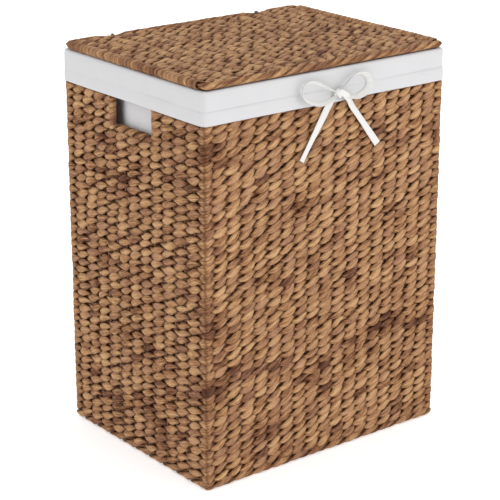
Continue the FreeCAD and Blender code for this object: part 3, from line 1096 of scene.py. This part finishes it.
def line_core(start: Sequence[float], end: Sequence[float], outward: Sequence[float]) -> Core:
    """A straight core.

    Args:
        start: its first point, at place 0.
        end: its last point, at place 1.
        outward: the direction that its outer face looks in.

    Returns:
        A function from places to points, outward and upward directions.
    """
    first = np.array(start, float)
    run = np.array(end, float) - first
    out = np.array(outward, float)

    def core(places: Array) -> tuple[Array, Array, Array]:
        """The core's points and directions at some places."""
        return first + places[:, None] * run, out, np.cross(unit(run), out)

    return core


@dataclass
class Winding:
    """Strand wound round a core in turns, side by side or as one ply of a rope."""

    core: Core
    start: float
    end: float
    turns: float
    half_out: float
    half_up: float
    half_width: float
    rise: float
    tones: Array
    first_turn: float = 0.0
    inner_rise: float = 0.8 * MM
    squareness: float = 0.6
    per_turn: int = 22
    taper: float = 0.0
    mark: float = 0.0
    uneven: float = 0.10

    def strand(self, rng: np.random.Generator) -> Strand:
        """Winds the strand.

        Args:
            rng: the seeded source.

        Returns:
            The strand.
        """
        count = int(abs(self.turns) * self.per_turn) + 2
        share = np.linspace(0.0, 1.0, count)
        points, outward, upward = self.core(self.start + (self.end - self.start) * share)
        turn = self.first_turn + self.turns * share
        cos, sin = np.cos(TURN * turn)[:, None], np.sin(TURN * turn)[:, None]
        table = 1.0 + rng.uniform(-self.uneven, self.uneven, max(4, count // 8))
        ends = np.ones(count)
        if self.taper:
            ends = ease(np.minimum(share, 1.0 - share) / self.taper, 0.0, 1.0) * 0.65 + 0.35
        size = wander(table, share * (len(table) - 1)) * ends
        away = outward * power(cos, self.squareness) * self.half_out
        away = away + upward * power(sin, self.squareness) * self.half_up
        return Strand(
            points + away * ends[:, None],
            unit(outward * cos / self.half_out + upward * sin / self.half_up), self.half_width * size,
            self.rise * size, self.inner_rise, tone=wander(self.tones, np.abs(turn)), mark=self.mark,
            fullness=0.8,
        )


def turn_tones(rng: np.random.Generator, count: int, group: int = 4) -> Array:
    """Tones for the turns of a wound edge, alike in groups.

    Args:
        rng: the seeded source.
        count: how many turns.
        group: how many neighbouring turns come from one strand.

    Returns:
        One tone for each turn.
    """
    groups = rng.normal(0.56, 0.14, count // group + 2)
    return groups[np.arange(count) // group] + rng.normal(0.0, 0.05, count)


def rope(
    core: Core, start: float, end: float, twists: float, radius: float, rng: np.random.Generator,
    plies: int = 2,
) -> Iterator[Strand]:
    """Strands twisted together round a core.

    Args:
        core: what they go round.
        start: the first place.
        end: the last place.
        twists: how many whole twists between them.
        radius: the rope's outer radius.
        rng: the seeded source.
        plies: how many strands there are.

    Returns:
        The strands, one by one.
    """
    for ply in range(plies):
        yield Winding(
            core, start, end, twists, half_out=radius * 0.50, half_up=radius * 0.52,
            half_width=radius * (1.44 - 0.22 * plies), rise=radius * 0.48, inner_rise=radius * 0.2,
            tones=rng.normal(0.54, 0.10, TABLE), first_turn=ply / plies, squareness=1.0, per_turn=26,
            taper=0.35 / abs(twists) if abs(twists) < 12.0 else 0.0, mark=7.7 * ply + 0.31 * start,
        ).strand(rng)


@dataclass
class BaseWork(Work):
    """The base: a flat woven panel with a roped edge round the bottom rail."""

    plan: Plan = Plan(post=2.5 * MM)
    twining: Twining = Twining(1.8 * MM, 3.9 * MM, 7.0 * MM, flat_rise=0.9 * MM, round_rise=1.3 * MM)
    height: float = 6.95 * MM
    radius: float = 5.5 * MM
    seed: int = 23

    def build(self) -> None:
        """Weaves the panel and ropes its edge."""
        FlatWeave(
            self.shop, "base_rows", "base_weave", Body.BASKET, height=5.0 * MM, half_x=216.0 * MM,
            half_y=166.0 * MM, rows=28, twining=self.twining, seed=31, step=0.125,
        ).build()
        rng = np.random.default_rng(self.seed)
        strands = rope(self.plan.core(self.height), -0.5, 63.52, 22.0, self.radius, rng)
        self.shop.make("base_edge_rope", strands, "base_border")


@dataclass
class RimWork(Work):
    """The top rim, wound with strand between the two places where the hinge loops pass."""

    plan: Plan = Plan(post=3.2 * MM)
    height: float = 588.0 * MM
    notch: float = 3.6 * MM
    pitch: float = 9.6 * MM
    seed: int = 37

    def build(self) -> None:
        """Winds the rim in two lengths."""
        rng = np.random.default_rng(self.seed)
        first, second, edge = self.plan.back(HINGE_X), self.plan.back(-HINGE_X), self.notch / GAP
        strands = []
        for start, end in ((first + edge, second - edge), (second + edge, first + LAP - edge)):
            turns = round((end - start) * GAP / self.pitch)
            winding = Winding(
                self.plan.core(self.height), start, end, float(turns), half_out=2.8 * MM,
                half_up=6.2 * MM, half_width=5.0 * MM, rise=1.3 * MM, tones=turn_tones(rng, turns + 2),
                mark=start,
            )
            strands.append(winding.strand(rng))
        self.shop.make("rim_winding", strands, "rim_border")


@dataclass
class HandHole(Work):
    """The bound edge of one hand hole: wound uprights with a twined row under and over the opening."""

    side: float
    name: str
    wall: float = 220.0 * MM
    upright: float = 53.3 * MM
    low: float = 496.0 * MM
    high: float = 560.0 * MM
    sill: float = 502.9 * MM
    head: float = 553.3 * MM
    reach: float = 52.0 * MM
    seed: int = 41

    def _strands(self) -> Iterator[Strand]:
        """Winds the uprights, then twines the rows.

        Returns:
            The strands, one by one.
        """
        rng = np.random.default_rng(self.seed)
        x = self.side * self.wall
        out = (self.side, 0.0, 0.0)
        for y in (-self.upright, self.upright):
            yield Winding(
                line_core((x, y, self.low), (x, y, self.high), out), start=0.0, end=1.0, turns=8.0,
                half_out=3.5 * MM, half_up=3.7 * MM, half_width=4.3 * MM, rise=1.5 * MM,
                tones=turn_tones(rng, 12, 2), mark=y * 100.0, first_turn=0.3,
            ).strand(rng)
        reach = self.reach * self.side
        for height in (self.sill, self.head):
            core = line_core((x, -reach, height), (x, reach, height), out)
            yield from rope(core, 0.0, 1.0, -2.15, 5.4 * MM, rng)

    def build(self) -> None:
        """Binds the hole."""
        self.shop.make(f"{self.name}_hand_hole_binding", self._strands(), f"{self.name}_handle_wrap")


@dataclass
class LidWork(Work):
    """The lid: rows from side to side, wound side edges, and roped front and back edges."""

    plan: Plan = Plan(post=7.0 * MM, turn=0.3)
    twining: Twining = Twining(1.9 * MM, 3.6 * MM, 6.7 * MM, waist=0.66, round_rise=1.9 * MM)
    height: float = 603.8 * MM
    radius: float = 5.1 * MM
    notch: float = 3.4 * MM
    edge_x: float = 218.0 * MM
    edge_y: float = 160.0 * MM
    turns: int = 33
    seed: int = 53

    def _roped(self, runs: Iterable[Sequence[float]], rng: np.random.Generator) -> Iterator[Strand]:
        """Ropes an edge in lengths, each with its first place, last place and number of twists."""
        for start, end, twists in runs:
            yield from rope(self.plan.core(self.height), start, end, twists, self.radius, rng, 3)

    def _wound(self, side: float, rng: np.random.Generator) -> Strand:
        """Winds one side edge.

        Args:
            side: -1 for the left side and 1 for the right.
            rng: the seeded source.

        Returns:
            The strand.
        """
        x = side * self.edge_x
        return Winding(
            line_core((x, -self.edge_y, self.height), (x, self.edge_y, self.height), (side, 0.0, 0.0)),
            start=0.0, end=1.0, turns=float(self.turns), half_out=6.6 * MM, half_up=4.2 * MM,
            half_width=5.3 * MM, rise=1.9 * MM, tones=turn_tones(rng, self.turns + 3, 2),
            first_turn=0.25, squareness=0.7, mark=side * 3.0, uneven=0.2,
        ).strand(rng)

    def build(self) -> None:
        """Weaves the rows, ropes the front and back edges, and winds the side edges."""
        FlatWeave(
            self.shop, "lid_rows", "lid_weave", Body.LID, height=self.height, half_x=213.0 * MM,
            half_y=166.5 * MM, rows=32, twining=self.twining, seed=61, stray=0.16,
        ).build()
        rng = np.random.default_rng(self.seed)
        first, second, edge = self.plan.back(HINGE_X), self.plan.back(-HINGE_X), self.notch / GAP
        back = (31.25, first - edge, 1.2), (first + edge, second - edge, 3.7), (second + edge, 50.75, 1.2)
        for label, runs in (("front", [(-0.75, 18.75, 6.6)]), ("back", back)):
            self.shop.make(f"lid_{label}_edge", self._roped(runs, rng), "lid_border", body=Body.LID)
        for label, side in (("left", -1.0), ("right", 1.0)):
            self.shop.make(f"lid_{label}_edge", [self._wound(side, rng)], "lid_border", body=Body.LID)


# ---------------------------------------------------------------- the cotton liner


@dataclass
class LinerCuff(Work):
    """The turned-down top of the liner: over the rim, down outside, and into a hem that holds the tape."""

    plan: Plan = Plan(post=3.2 * MM, turn=0.22)
    cloth: float = 0.8 * MM
    slit: float = 3.2 * MM
    slit_above: float = 594.0 * MM
    knot_place: float = 9.33
    pleat_pitch: float = 0.42
    relief: tuple[float, float, float] = (0.28, 0.30, 0.40)
    seam: float = 568.4 * MM
    stitches: int = 420
    profile: tuple[tuple[float, float], ...] = (
        *((5.35, 567.6), (5.25, 564.0), (5.2, 558.0), (5.3, 552.6), (5.75, 550.2), (6.5, 549.3)),
        *((7.05, 550.4), (7.3, 553.2), (7.35, 557.5), (7.2, 562.0), (6.95, 565.6), (6.65, 567.6)),
        *((6.5, 568.4), (6.6, 569.4), (6.65, 572.0), (6.6, 578.0), (6.5, 584.0), (6.4, 589.0)),
        *((6.1, 593.0), (5.3, 595.6), (3.8, 596.8), (1.5, 597.1), (-1.5, 597.1), (-3.7, 596.7)),
        *((-4.9, 595.2), (-5.3, 592.0), (-5.4, 586.0), (-5.4, 580.0), (-5.3, 575.8)),
    )

    def _columns(self) -> Array:
        """The places of the cloth's columns, with one at each edge of the hinge slits.

        Returns:
            The places, lowest first.
        """
        slit = self.slit / GAP
        edges = [self.plan.back(x) + side * slit for x in (HINGE_X, -HINGE_X) for side in (-1.0, 1.0)]
        even = self.plan.steps(0.0, 63.98, 0.16)
        far = np.abs(even[:, None] - np.array(edges)).min(1) > 0.06
        return np.sort(np.concatenate([even[far], edges]))

    def _kept(self, places: Array, profile: Array) -> Array:
        """Which faces the cuff keeps: all but the two slits that the hinge loops pass through.

        Args:
            places: the columns' places.
            profile: the profile's points.

        Returns:
            A table of rows - 1 by columns.
        """
        middle = (places + np.roll(places, -1)) / 2.0
        middle[-1] = 63.99
        along = self.plan.half_x - (middle - CORNERS[2]) * GAP
        back = (middle > CORNERS[2]) & (middle < CORNERS[3])
        slit = back & (np.abs(np.abs(along) - HINGE_X) < self.slit)
        high = (profile[:-1, 1] + profile[1:, 1]) / 2.0 > self.slit_above
        return ~(high[:, None] & slit)

    def _stitches(self) -> Iterator[Strand]:
        """Sews the row of stitches above the hem.

        Returns:
            The stitches, one by one.
        """
        bulge = np.array([0.0, 0.32, 0.42, 0.32, 0.0]) * MM
        size = np.array([0.5, 0.9, 1.0, 0.9, 0.5]) * 0.28 * MM
        for stitch in range(self.stitches):
            places = LAP * stitch / self.stitches + np.linspace(-0.055, 0.055, 5)
            flat, outward = self.plan.at(places, 6.35 * MM + bulge)
            yield Strand(flat + UP * (self.seam + 0.5 * MM), outward, size, size, size)

    def build(self) -> None:
        """Sews the cuff and the stitching of its hem."""
        places = self._columns()
        profile = np.array(self.profile) * MM
        girth = places / LAP * CUFF_GIRTH
        soft = Ripple(seed=5, low=4.0, high=17.0)
        broad = Ripple(seed=6, low=1.2, high=5.0)
        out, up = profile[:, :1], profile[:, 1:]
        hem = ease(569.0 * MM - up, 0.0, 4.0 * MM)
        near_bow = bell(places, self.knot_place, 1.5)
        pleats = np.cos(TURN * (places - self.knot_place) / self.pleat_pitch)
        fine, wide, pleated = self.relief
        off = out + ease(out, 3.0 * MM, 5.0 * MM) * MM * (
            fine * (1.0 - 0.6 * hem) * soft.at(girth, up) * ease(596.0 * MM - up, 0.0, 10.0 * MM)
            + wide * (1.0 - 0.6 * hem) * broad.at(girth, up * 0.5)
            + pleated * hem * near_bow * (1.0 + pleats)
        )
        lift = 0.55 * MM * broad.at(girth + 3.0, up * 0.0) * ease(590.0 * MM - up, 0.0, 30.0 * MM)
        height = up + (lift - 1.2 * MM * hem * near_bow)
        points = np.stack([self.plan.at(places, row)[0] for row in off])
        points[:, :, 2] = height
        span = lengths(profile)
        grain = np.stack(np.broadcast_arrays(girth, span[:, None], 0.0), -1)
        draft = Draft()
        # painted shade: the cloth is painted a little darker in a thin line along the seam
        draft.lay_tube(points, grain, 1.0 - 0.22 * bell(up, self.seam, 0.7 * MM), self._kept(places, profile))
        piece = self.shop.hem(draft, "liner_cuff_cloth", self.cloth, -1.0, "liner_cuff", "drawstring_casing")
        stitches = self.shop.make("hem_stitches", self._stitches(), slot=Slot.COTTON)
        stitches.data.uv_layers.remove(stitches.data.uv_layers["OFBake"])


@dataclass
class LinerBag(Work):
    """The liner's bag: four soft walls that narrow below the rim, and a floor."""

    top: float = 576.2 * MM
    shoulder: float = 552.0 * MM
    floor: float = 10.4 * MM
    half_x_top: float = 214.2 * MM
    half_x: float = 196.0 * MM
    half_y: float = 164.2 * MM
    corner: float = 9.0 * MM
    cloth: float = 0.8 * MM
    bulge: float = 16.5 * MM
    columns: int = 224
    girth: float = 1.45

    def _rows(self) -> tuple[Array, Array]:
        """The rows of points: down the walls, round the lower edge, then in over the floor.

        Returns:
            Their heights, and how far each one is drawn in.
        """
        walls = np.linspace(self.shoulder, 30.0 * MM, 74)[1:]
        edge = np.array([[14.0, 0.2], [9.5, 1.0], [5.5, 3.0], [2.5, 6.5], [0.7, 11.0], [0.0, 16.0]]) * MM
        rings = 16.0 * MM + np.arange(1, 12) * 13.0 * MM
        top = np.linspace(self.top, self.shoulder, 6)
        heights = np.concatenate([top, walls, self.floor + edge[:, 0], np.full(len(rings), self.floor)])
        return heights, np.concatenate([np.zeros(len(top) + len(walls)), edge[:, 1], rings])

    def _bulge(self, height: float, y: Array, sideways: Array) -> Array:
        """How far the bag swells into the hand holes.

        Args:
            height: the row's height.
            y: where each point is from front to back.
            sideways: 1 where the bag faces the left or the right.

        Returns:
            A share for each point, 0 to 1.
        """
        level = ease(height, 350.0 * MM, 505.0 * MM) * ease(566.0 * MM - height, 0.0, 14.0 * MM)
        across = 1.0 - ease(np.abs(y + 10.0 * MM), 24.0 * MM, 92.0 * MM)
        return level * across * ease(sideways, 0.6, 0.95)

    def build(self) -> None:
        """Sews the bag."""
        share = (np.arange(self.columns) + 0.5) / self.columns
        girth = share * self.girth
        heights, inset = self._rows()
        folds = Ripple(seed=71, low=3.0, high=9.0)
        drape = Ripple(seed=72, low=1.0, high=4.0)
        points = []
        for height, pull in zip(heights, inset):
            slope = ease(height, self.shoulder, self.top)
            half_x = self.half_x + (self.half_x_top - self.half_x) * slope - pull
            row, outward = Plan(half_x, self.half_y - pull, self.corner, 0.5).at(share * LAP, 0.0)
            if height <= self.floor + 1e-6:
                bob = np.maximum(drape.at(row[:, 0] * 3.0, row[:, 1] * 3.0), -0.2)
                row[:, 2] = height + (bob * 1.3 * MM + 0.3 * MM)
            else:
                sides = np.abs(outward[:, 0])
                bulge = self._bulge(height, row[:, 1], sides)
                gather = folds.at(girth, height * 0.22) * 1.5 + drape.at(girth, height) * 2.2
                low = ease(0.16 - height, 0.0, 0.15)
                push = gather * (0.55 + 0.9 * low) - 2.6 * (1.0 - sides) - 1.5 * low
                push = push * ease(self.top - height, 0.0, 60.0 * MM)
                push = np.where(sides < 0.5, np.minimum(push, 0.25), push) * MM * (1.0 - bulge)
                row = row + outward * (push + bulge * self.bulge)[:, None]
                row[:, 2] = height
            points.append(row)
        grain = np.stack(np.broadcast_arrays(girth, (0.6 - heights + inset)[:, None], 0.0), -1)
        draft = Draft()
        draft.lay_tube(np.stack(points), grain, 1.0)
        draft.faces.append((draft.count - self.columns + np.arange(self.columns))[None, :])
        panels = [f"liner_{panel}_panel" for panel in ("front", "back", "left", "right", "bottom")]
        piece = self.shop.hem(draft, "liner_bag", self.cloth, 0.0, *panels)


# ---------------------------------------------------------------- the tape and its bow


@dataclass(frozen=True)
class Route:
    """The line of one free length of tape, by its control points in millimetres from the knot."""

    node: str
    points: tuple[tuple[float, float], ...]
    length: float
    forward: float
    far_end: str
    lay: str

    def line(self, knot: Vector, count: int = 72) -> Array:
        """The smooth line, read from its spline.

        Args:
            knot: the knot's centre.
            count: how many even points to return.

        Returns:
            The points along the line.
        """
        curve = bpy.data.curves.new(f"{self.node}_route", "CURVE")
        curve.dimensions = "3D"
        spline = curve.splines.new("NURBS")
        spline.points.add(len(self.points) - 1)
        for point, (across, up) in zip(spline.points, self.points):
            point.co = (knot.x + across * MM, self.forward, knot.z + up * MM, 1.0)
        spline.order_u = 3
        spline.use_endpoint_u = True
        spline.resolution_u = 24
        holder = bpy.data.objects.new(f"{self.node}_route", curve)
        bpy.context.scene.collection.objects.link(holder)
        bpy.context.view_layer.update()
        graph = bpy.context.evaluated_depsgraph_get()
        read = bpy.data.meshes.new_from_object(holder.evaluated_get(graph))
        raw = np.array([vertex.co for vertex in read.vertices], float)
        bpy.data.objects.remove(holder)
        bpy.data.meshes.remove(read)
        along = lengths(raw)
        even = np.linspace(0.0, along[-1], count)
        return np.stack([np.interp(even, along, raw[:, axis]) for axis in range(3)], -1)


@dataclass
class TiedTape(Work):
    """The flat tape: round through the hem, and tied at the front in a bow."""

    knot: Vector = field(default_factory=lambda: Vector((8.0 * MM, -184.0 * MM, 562.0 * MM)))
    width: float = 10.0 * MM
    half_width: float = 5.4 * MM
    half_thick: float = 0.45 * MM
    loop_y: float = -184.4 * MM
    tail_y: float = -178.5 * MM
    flare: float = math.radians(36.0)
    roll: float = math.radians(12.0)
    hem_height: float = 558.2 * MM
    plan: Plan = Plan(post=3.2 * MM, turn=0.22)

    def routes(self) -> list[Route]:
        """The bow's free lengths.

        Returns:
            The two loops and the two tails.
        """
        left_loop = ((-5, 3), (-28, 15), (-50, 26), (-67, 21), (-67, 4), (-50, -7), (-26, -12), (-5, -2.5))
        right_loop = ((5, 3.5), (18, 17), (33, 26), (54, 22), (62, 5), (50, -7), (27, -11), (5, -2.5))
        left_tail = ((-3.5, -5), (-13, -15), (-26, -36), (-43, -61), (-62.5, -91))
        right_tail = ((5, 1), (14, -4), (27, -19), (48, -45), (82, -89))
        return [
            Route("bow_loop_left", left_loop, 0.148, self.loop_y, "object", "loose"),
            Route("bow_loop_right", right_loop, 0.1353, self.loop_y, "object", "loose"),
            Route("bow_tail_left", left_tail, 0.1045, self.tail_y, "bare", "hanging"),
            Route("bow_tail_right", right_tail, 0.1191, self.tail_y, "bare", "hanging"),
        ]

    def _band(self, line: Array, facing: Array, half: Values) -> Strand:
        """A flat length of tape, half its width at each point, facing some way."""
        return Strand(line, facing, half, self.half_thick, self.half_thick, fullness=0.5)

    def _loop(self, line: Array) -> Strand:
        """One loop of the bow, its tape standing off the cloth and flaring towards the front.

        Args:
            line: its smooth line.

        Returns:
            The strand.
        """
        share = np.linspace(0.0, 1.0, len(line))
        tangent = unit(np.gradient(line, axis=0))
        away = (line - line.mean(0)) * np.array([1.0, 0.0, 1.0])
        side = np.cross(tangent, FORWARD)
        side = side * np.sign((side * away).sum(1).mean())
        flare = self.flare * np.sin(math.pi * share) ** 0.6
        width = FORWARD * np.cos(flare)[:, None] + side * np.sin(flare)[:, None]
        half = self.half_width * (0.62 + 0.38 * ease(np.minimum(share, 1.0 - share), 0.0, 0.16))
        return self._band(line, np.cross(tangent, width), half)

    def _tail(self, line: Array, start: float) -> Strand:
        """One tail of the bow, lying flat down the wall.

        Args:
            line: its smooth line.
            start: where its slow roll starts.

        Returns:
            The strand.
        """
        share = np.linspace(0.0, 1.0, len(line))
        roll = self.roll * np.sin(share * 5.0 + start)
        side = np.cross(unit(np.gradient(line, axis=0)), FORWARD)
        facing = FORWARD * np.cos(roll)[:, None] + side * np.sin(roll)[:, None]
        return self._band(line, facing, self.half_width * (0.68 + 0.32 * ease(share, 0.0, 0.12)))

    def _over_knot(self, line: Array) -> None:
        """Brings the start of the right tail forward, over the knot.

        Args:
            line: the tail's line, which is changed in place.
        """
        share = np.linspace(0.0, 1.0, len(line))
        line[:, 1] -= 9.6 * MM * (1.0 - ease(share, 0.05, 0.34))
        line[:, 0] -= 5.5 * MM * (1.0 - ease(share, 0.0, 0.16))
        line[:, 2] += 4.0 * MM * (1.0 - ease(share, 0.0, 0.16))

    def build(self) -> None:
        """Ties the bow, and lays the tape inside the hem."""
        self.shop.make("bow_knot_tied", self._knot(), "bow_knot", slot=Slot.TAPE)
        for route in self.routes():
            line = route.line(self.knot)
            if route.node == "bow_tail_right":
                self._over_knot(line)
            is_loop = "loop" in route.node
            strand = self._loop(line) if is_loop else self._tail(line, 0.5 if "left" in route.node else 2.4)
            piece = self.shop.make(f"{route.node}_tape", [strand], route.node, slot=Slot.TAPE)
        self.shop.make("drawstring_tape", [self._drawstring()], "drawstring", slot=Slot.TAPE)

    def _knot(self) -> Iterator[Strand]:
        """The knot: two turns pulled over the middle, two gathered strands, and its neck.

        Returns:
            The strands, one by one.
        """
        angle = TURN * np.linspace(0.0, 1.0, 34)[:, None]
        lean = np.array([0.60, 0.0, -0.80])
        centre = np.array(self.knot)
        for grow, half in ((1.0, 0.84), (0.82, 0.7)):
            ring = FORWARD * (4.2 * MM * grow * np.cos(angle)) + lean * (6.6 * MM * grow * np.sin(angle))
            facing = unit(FORWARD * np.cos(angle) + lean * np.sin(angle) * 0.7)
            yield self._band(centre + ring, facing, self.half_width * half)
        reach = np.linspace(-7.5, 7.5, 16)[:, None] * MM
        plump = np.sqrt(1.0 - (reach[:, 0] / (9.0 * MM)) ** 2)
        for tilt, rise in ((0.35, 1.2 * MM), (-0.3, -1.0 * MM)):
            line = centre + reach * np.array([1.0, 0.0, tilt]) + UP * rise
            thick = 2.6 * MM * plump
            yield Strand(line, FORWARD, self.half_width * 0.7 * plump, thick, thick, fullness=0.9)
        back = np.linspace(-184.0, -176.6, 8) * MM
        neck = np.stack(np.broadcast_arrays(centre[0], back, centre[2] - 1.0 * MM), -1)
        yield self._band(neck, UP, 4.0 * MM)

    def _drawstring(self) -> Strand:
        """The tape inside the hem.

        Returns:
            The tape as one flat strand.
        """
        flat, outward = self.plan.at(self.plan.steps(9.8, 72.9, 0.25), 6.3 * MM)
        thick = self.half_thick * 0.5
        return Strand(flat + UP * self.hem_height, outward, self.width * 0.48, thick, thick, fullness=0.5)


# ---------------------------------------------------------------- the steel frame


@dataclass
class SteelFrame(Work):
    """The rods, stakes and hinge loops, which keep their CAD shapes."""

    nodes: tuple[str, ...] = (
        *("bottom_rail", "top_rim", "corner_posts"),
        *("front_stakes", "back_stakes", "left_stakes", "right_stakes", "base_stakes"),
        *("left_handle_frame", "right_handle_frame", "left_hinge_loop", "right_hinge_loop"),
        *("lid_frame", "lid_stakes"),
    )

    def build(self) -> None:
        """Paints every rod."""
        for name in self.nodes:
            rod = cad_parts[name]
            rod.data.materials.clear()
            rod.data.materials.append(self.shop.materials[Slot.STEEL])
            LOG.info("%s keeps its CAD shape", name)


# ---------------------------------------------------------------- studio


@dataclass
class Studio:
    """The pale floor, the soft light and the camera."""

    azimuth: float = 38.177
    elevation: float = 19.067
    lens: float = 129.24
    spot: tuple[float, float, float] = (-1.6312, -2.0648, 1.1875)
    floor_reach: float = 9.0
    room_strength: float = 0.95
    key_spot: tuple[float, float, float] = (0.7, -2.8, 2.0)
    key_size: float = 2.4
    key_power: float = 17.0
    aim: tuple[float, float, float] = (0.0, 0.0, 0.3)

    def build(self) -> None:
        """Sets up the studio."""
        self._camera()
        self._floor()
        self._room()
        self._key_light()
        bpy.context.scene.view_settings.view_transform = "Standard"

    def _camera(self) -> None:
        """Places the camera at the viewing angle."""
        data = bpy.data.cameras.new("camera")
        data.lens = self.lens
        data.sensor_width = 36.0
        camera = bpy.data.objects.new("camera", data)
        turn = math.radians(self.azimuth)
        drop = math.radians(self.elevation)
        ahead = Vector((math.sin(turn) * math.cos(drop), math.cos(turn) * math.cos(drop), -math.sin(drop)))
        camera.location = self.spot
        camera.rotation_euler = ahead.to_track_quat("-Z", "Y").to_euler()
        bpy.context.scene.collection.objects.link(camera)
        bpy.context.scene.camera = camera

    def _floor(self) -> None:
        """Lays the floor."""
        reach = self.floor_reach
        mesh = bpy.data.meshes.new("floor")
        corners = [(-reach, -reach, 0.0), (reach, -reach, 0.0), (reach, reach, 0.0), (-reach, reach, 0.0)]
        mesh.from_pydata(corners, [], [(0, 1, 2, 3)])
        mesh.materials.append(FloorFinish().material())
        floor = bpy.data.objects.new("floor", mesh)
        bpy.context.scene.collection.objects.link(floor)

    def _room(self) -> None:
        """Fills the room with even pale light."""
        world = bpy.data.worlds.new("room")
        world.use_nodes = True
        background = world.node_tree.nodes["Background"]
        background.inputs["Color"].default_value = WHITE
        background.inputs["Strength"].default_value = self.room_strength
        bpy.context.scene.world = world

    def _key_light(self) -> None:
        """Hangs one soft light that faces the basket."""
        data = bpy.data.lights.new("key_light", "AREA")
        data.shape = "SQUARE"
        data.size = self.key_size
        data.energy = self.key_power
        light = bpy.data.objects.new("key_light", data)
        light.location = self.key_spot
        aim = Vector(self.aim) - Vector(self.key_spot)
        light.rotation_euler = aim.to_track_quat("-Z", "Y").to_euler()
        bpy.context.scene.collection.objects.link(light)


def main() -> None:
    """Builds the basket sub-assembly by sub-assembly, and reports each piece."""
    logging.basicConfig(level=logging.INFO, format="%(name)s: %(message)s")
    Studio().build()
    shop = Workshop()
    holes = [HandHole(shop, -1.0, "left"), HandHole(shop, 1.0, "right", seed=43)]
    walls = [WovenWalls(shop), BaseWork(shop), RimWork(shop), *holes]
    for work in (TiedTape(shop), *walls, LidWork(shop), LinerCuff(shop), LinerBag(shop), SteelFrame(shop)):
        LOG.info("building %s", type(work).__name__)
        work.build()


if __name__ == "__main__":
    main()
